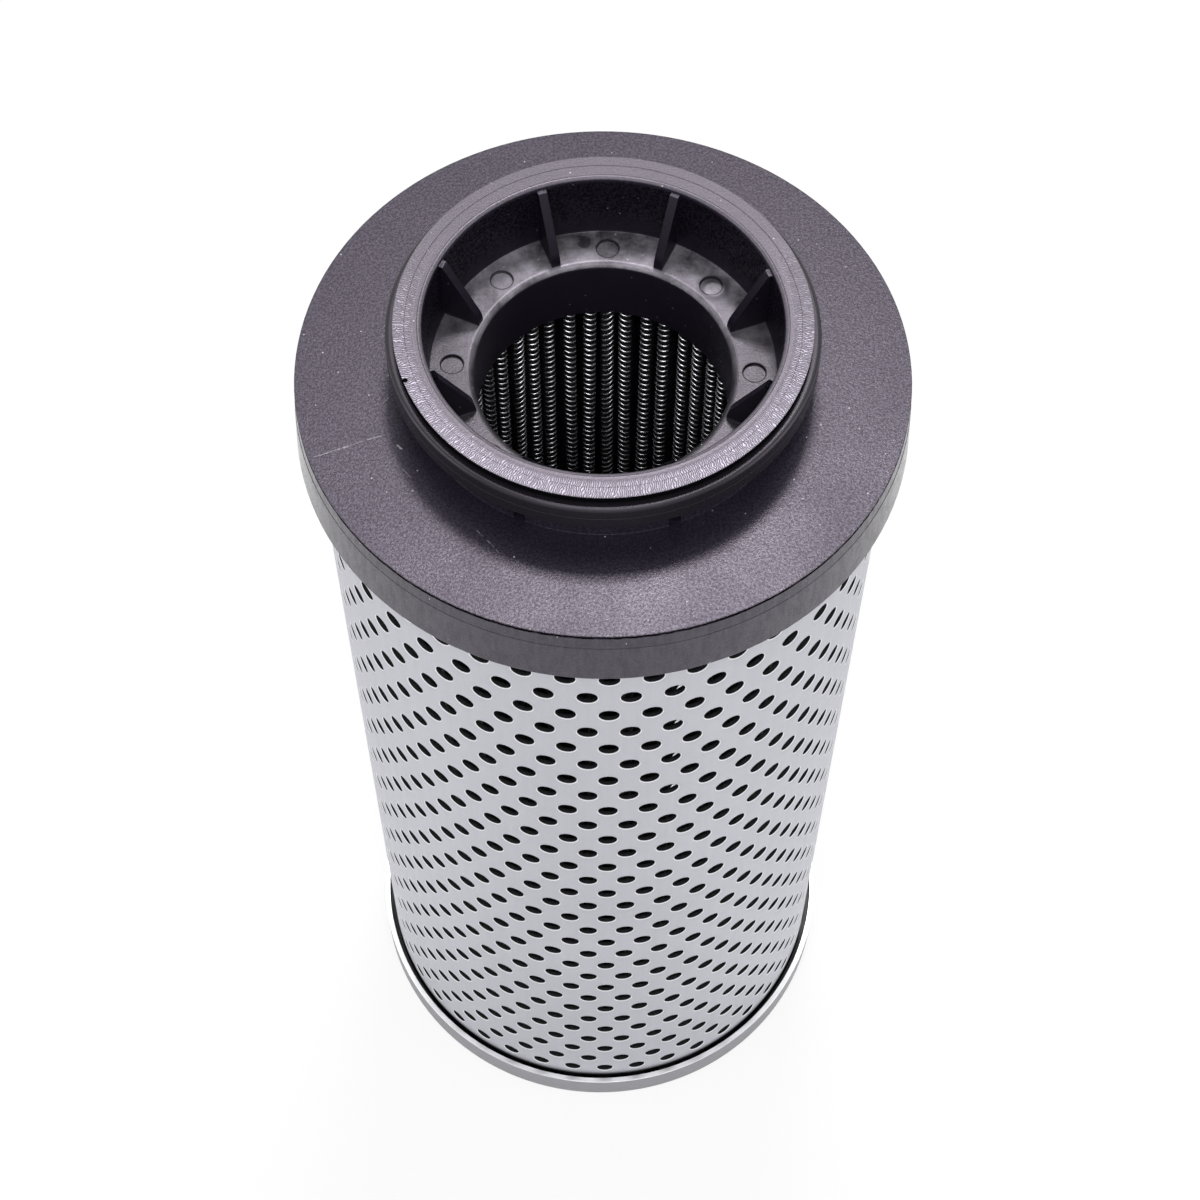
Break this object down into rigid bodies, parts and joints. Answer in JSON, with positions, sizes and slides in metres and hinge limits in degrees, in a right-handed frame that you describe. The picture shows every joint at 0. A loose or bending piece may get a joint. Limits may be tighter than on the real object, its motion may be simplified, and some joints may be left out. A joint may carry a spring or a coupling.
{
  "type": "hydraulic return filter element",
  "caption": "Pleated filter element: pleat pack in a perforated metal tube, moulded upper cap with a ribbed, rubber-sealed neck, and pressed metal foot.",
  "frame": {"origin": "centre of the underside of the foot", "axes": "+Z along the element's axis towards the neck; the front of the picture is -Y"},
  "size_m": [0.0874, 0.0874, 0.1927],
  "materials": {
    "cap_plastic": "moulded glass-filled plastic, dark grey, fine grain, slightly shiny",
    "seal_rubber": "black nitrile rubber, satin, with a fine mould line",
    "tube_steel": "bright tinned steel sheet with punched holes",
    "foot_steel": "pressed tinned steel sheet with faint circular draw marks",
    "adhesive": "dark cured potting compound, smooth",
    "inner_wire_mesh": "fine woven wire, dark with bright crowns",
    "fleece": "thin white non-woven fleece",
    "glass_fibre_medium": "white glass-fibre felt",
    "outer_wire_mesh": "fine woven wire, grey"
  },
  "bodies": {
    "root": {"top_end_cap": "cap_plastic", "neck_seal": "seal_rubber", "perforated_tube": "tube_steel", "bottom_end_cap": "foot_steel", "top_potting": "adhesive", "bottom_potting": "adhesive", "inner_support_mesh": "inner_wire_mesh", "inner_fleece": "fleece", "filter_media": "glass_fibre_medium", "outer_fleece": "fleece", "outer_support_mesh": "outer_wire_mesh"}
  },
  "joints": []
}
